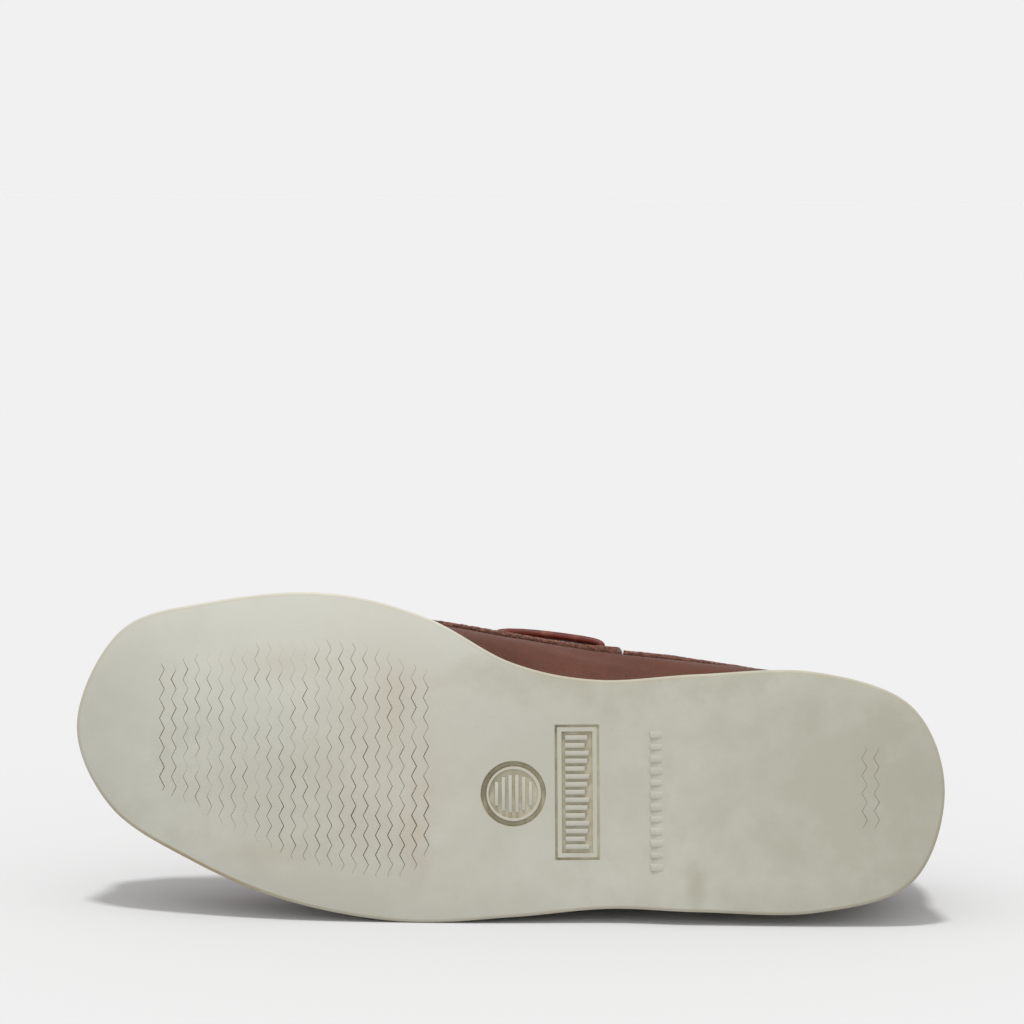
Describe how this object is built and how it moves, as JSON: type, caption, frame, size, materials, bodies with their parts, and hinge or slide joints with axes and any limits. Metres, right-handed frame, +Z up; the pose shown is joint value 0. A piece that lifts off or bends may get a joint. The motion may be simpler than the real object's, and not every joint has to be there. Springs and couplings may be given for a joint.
{
  "type": "boat shoe",
  "caption": "Right-foot leather boat shoe with a pale siped rubber sole, lying on its outer side, tread facing out.",
  "frame": {"origin": "middle of the box round the shoe, on the floor it lies on", "axes": "-X to the toe, +X to the heel, -Y out of the tread, +Y to the collar, +Z up to the inner (big toe) side"},
  "size_m": [0.3034, 0.1022, 0.1128],
  "materials": {
    "sole_rubber": "matt",
    "upper_leather": "satin, oiled",
    "lining_leather": "matt",
    "lace_leather": "satin",
    "eyelet_brass": "antique"
  },
  "bodies": {
    "root": {"collar_band": "upper_leather", "eyelet_collar_back_inner": "eyelet_brass", "eyelet_collar_back_outer": "eyelet_brass", "eyelet_collar_front_inner": "eyelet_brass", "eyelet_collar_front_outer": "eyelet_brass", "eyelet_side_back_inner": "eyelet_brass", "eyelet_side_back_outer": "eyelet_brass", "eyelet_side_front_inner": "eyelet_brass", "eyelet_side_front_outer": "eyelet_brass", "eyelet_throat_back_inner": "eyelet_brass", "eyelet_throat_back_outer": "eyelet_brass", "eyelet_throat_front_inner": "eyelet_brass", "eyelet_throat_front_outer": "eyelet_brass", "eyestay_inner": "upper_leather", "eyestay_outer": "upper_leather", "heel_counter": "upper_leather", "insole": "lining_leather", "lace_collar_inner": "lace_leather", "lace_collar_outer": "lace_leather", "lace_side_inner": "lace_leather", "lace_side_outer": "lace_leather", "lace_throat_bar": "lace_leather", "lace_throat_cross": "lace_leather", "outsole": "sole_rubber", "tongue": "upper_leather", "upper": "upper_leather"}
  },
  "joints": []
}
